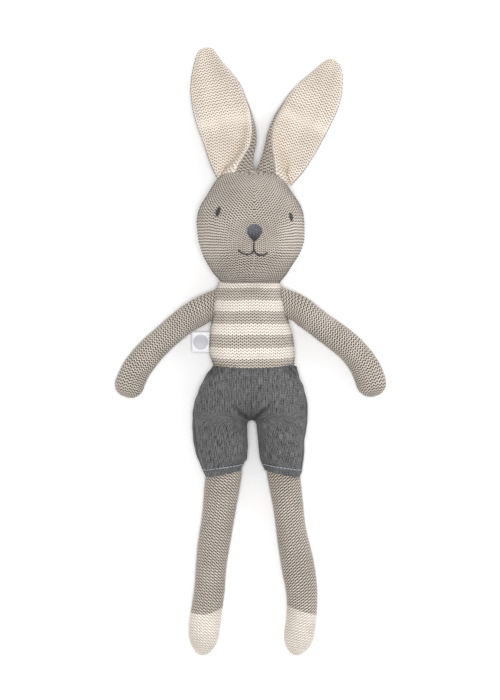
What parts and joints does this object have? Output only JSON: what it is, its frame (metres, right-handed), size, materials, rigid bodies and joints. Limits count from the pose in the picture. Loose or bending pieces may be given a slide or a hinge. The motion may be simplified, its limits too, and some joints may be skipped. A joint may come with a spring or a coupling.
{
  "type": "stuffed bunny doll",
  "caption": "Soft knitted bunny doll in woven shorts, with hinged head, ears, arms and legs, lying on its back.",
  "frame": {"origin": "on the flat of the back, under the middle of the chest", "axes": "+Y from the feet to the ears, +Z out of the belly, +X to the toy's own left"},
  "size_m": [0.172, 0.4001, 0.0617],
  "materials": {
    "grey_knit": "matte purl knit",
    "cream_knit": "matte stocking knit",
    "striped_knit": "matte knit in cream and grey bands",
    "charcoal_thread": "soft thread sheen",
    "grey_thread": "matte thread",
    "chambray": "matte plain weave",
    "pale_thread": "matte thread",
    "white_satin": "soft satin sheen",
    "elastic": "matte braid",
    "wadding": "loose matte fibre"
  },
  "bodies": {
    "torso": {"torso_front": "striped_knit", "torso_back": "striped_knit", "torso_filling": "wadding", "side_label": "white_satin", "shoulder_seam_left": "grey_thread", "shoulder_seam_right": "grey_thread", "hip_seam_left": "grey_thread", "hip_seam_right": "grey_thread", "shorts_seat_front": "chambray", "shorts_seat_back": "chambray", "waist_elastic": "elastic"},
    "head": {"head_panel_left": "grey_knit", "head_panel_right": "grey_knit", "head_filling": "wadding", "eye_left": "charcoal_thread", "eye_right": "charcoal_thread", "nose": "charcoal_thread", "mouth": "charcoal_thread", "neck_seam": "grey_thread"},
    "ear_left": {"ear_left_lining": "cream_knit", "ear_left_back": "grey_knit"},
    "ear_right": {"ear_right_lining": "cream_knit", "ear_right_back": "grey_knit"},
    "arm_left": {"arm_left_cover": "grey_knit", "arm_left_filling": "wadding"},
    "arm_right": {"arm_right_cover": "grey_knit", "arm_right_filling": "wadding"},
    "leg_left": {"leg_left_cover": "grey_knit", "foot_left_cover": "cream_knit", "leg_left_filling": "wadding", "shorts_leg_left": "chambray", "hem_stitch_left": "pale_thread"},
    "leg_right": {"leg_right_cover": "grey_knit", "foot_right_cover": "cream_knit", "leg_right_filling": "wadding", "shorts_leg_right": "chambray", "hem_stitch_right": "pale_thread"}
  },
  "joints": [
    {"name": "head_nod", "type": "hinge", "parent": "torso", "child": "head", "pos_m": [0, 0.031, 0.02], "axis": [1, 0, 0], "range_deg": [0, 30]},
    {"name": "ear_left_flop", "type": "hinge", "parent": "head", "child": "ear_left", "pos_m": [0.0205, 0.1036, 0.026], "axis": [0.9205, -0.3907, 0], "range_deg": [0, 90]},
    {"name": "ear_right_flop", "type": "hinge", "parent": "head", "child": "ear_right", "pos_m": [-0.0164, 0.1054, 0.026], "axis": [0.9903, 0.1392, 0], "range_deg": [0, 90]},
    {"name": "arm_left_fold", "type": "hinge", "parent": "torso", "child": "arm_left", "pos_m": [0.0288, 0.0146, 0.02], "axis": [0.0976, -0.9952, 0], "range_deg": [0, 75]},
    {"name": "arm_right_fold", "type": "hinge", "parent": "torso", "child": "arm_right", "pos_m": [-0.0288, 0.0146, 0.02], "axis": [0.0976, 0.9952, 0], "range_deg": [0, 75]},
    {"name": "leg_left_swing", "type": "hinge", "parent": "torso", "child": "leg_left", "pos_m": [0.0142, -0.047, 0.02], "axis": [-1, 0, 0], "range_deg": [0, 90], "deforming": ["shorts_leg_left", "shorts_seat_front", "shorts_seat_back"]},
    {"name": "leg_right_swing", "type": "hinge", "parent": "torso", "child": "leg_right", "pos_m": [-0.0142, -0.047, 0.02], "axis": [-1, 0, 0], "range_deg": [0, 90], "deforming": ["shorts_leg_right", "shorts_seat_front", "shorts_seat_back"]}
  ]
}
